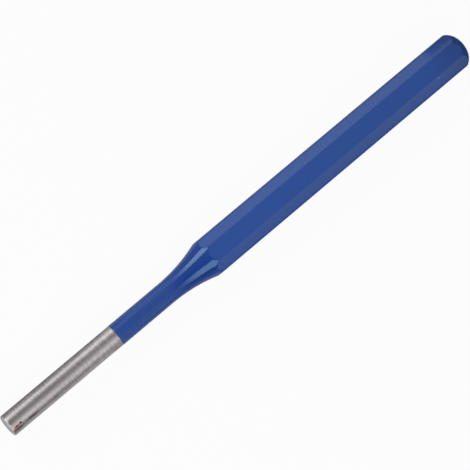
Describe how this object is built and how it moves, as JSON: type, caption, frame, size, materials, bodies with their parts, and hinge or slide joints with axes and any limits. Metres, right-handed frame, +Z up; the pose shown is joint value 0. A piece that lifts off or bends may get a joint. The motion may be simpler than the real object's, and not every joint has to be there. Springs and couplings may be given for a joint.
{
  "type": "pin punch",
  "caption": "Octagonal pin punch: a steel bar turned down through a hollow neck to a straight round pin, lacquered all over but for its bare working end.",
  "frame": {"origin": "on the surface that the punch lies on, under the middle of its length and width", "axes": "+X along the punch from the tip to the head, +Z up, +Y across it, with one flat facing down and the opposite one facing up"},
  "size_m": [0.15, 0.0098, 0.0099],
  "materials": {
    "ground_steel": "satin",
    "blue_lacquer": "gloss"
  },
  "bodies": {
    "root": {"steel_bar": "ground_steel", "lacquer_coat": "blue_lacquer"}
  },
  "joints": []
}
